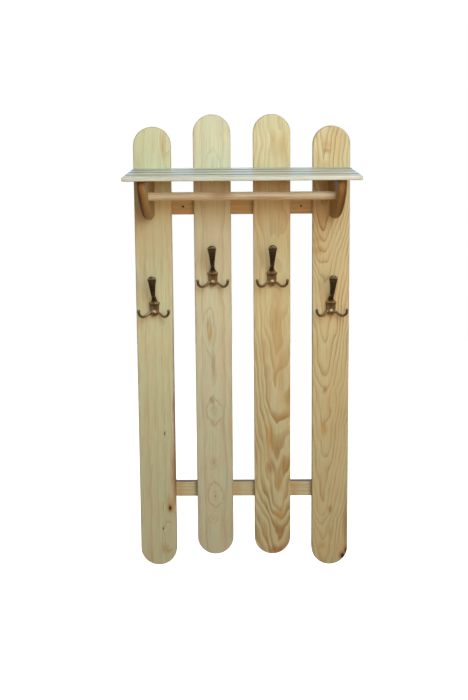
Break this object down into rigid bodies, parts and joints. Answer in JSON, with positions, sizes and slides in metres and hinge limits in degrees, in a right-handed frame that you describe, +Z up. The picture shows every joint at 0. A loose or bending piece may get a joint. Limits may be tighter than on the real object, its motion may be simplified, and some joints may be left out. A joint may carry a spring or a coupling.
{
  "type": "hall tree",
  "caption": "Wall-hung pine hall tree: round-ended upright boards on two rails, a slatted hat shelf on curved brackets, a hanging rod and cast triple coat hooks.",
  "frame": {"origin": "middle between the two wall-screw holes of the upper rail, on the wall plane (rear face of the rails)", "axes": "+X to the viewer's right, +Y into the wall, so the front faces -Y, +Z up"},
  "size_m": [0.55, 0.285, 1.2],
  "materials": {
    "pine": "clear satin lacquer",
    "beech": "raw",
    "antique_brass": "dark patina, rubbed bright on the edges",
    "plated_steel": "yellow zinc plating"
  },
  "bodies": {
    "root": {"picket_left_outer": "pine", "picket_left_inner": "pine", "picket_right_inner": "pine", "picket_right_outer": "pine", "upper_rail": "pine", "lower_rail": "pine", "shelf_slat_back": "pine", "shelf_slat_mid_back": "pine", "shelf_slat_mid_front": "pine", "shelf_slat_front": "pine", "bracket_left": "pine", "bracket_right": "pine", "hanging_rod": "pine", "shelf_dowels": "beech", "hook_left_outer": "antique_brass", "hook_left_inner": "antique_brass", "hook_right_inner": "antique_brass", "hook_right_outer": "antique_brass", "hook_screws": "antique_brass", "rail_screws": "plated_steel", "bracket_screws": "plated_steel"}
  },
  "joints": []
}
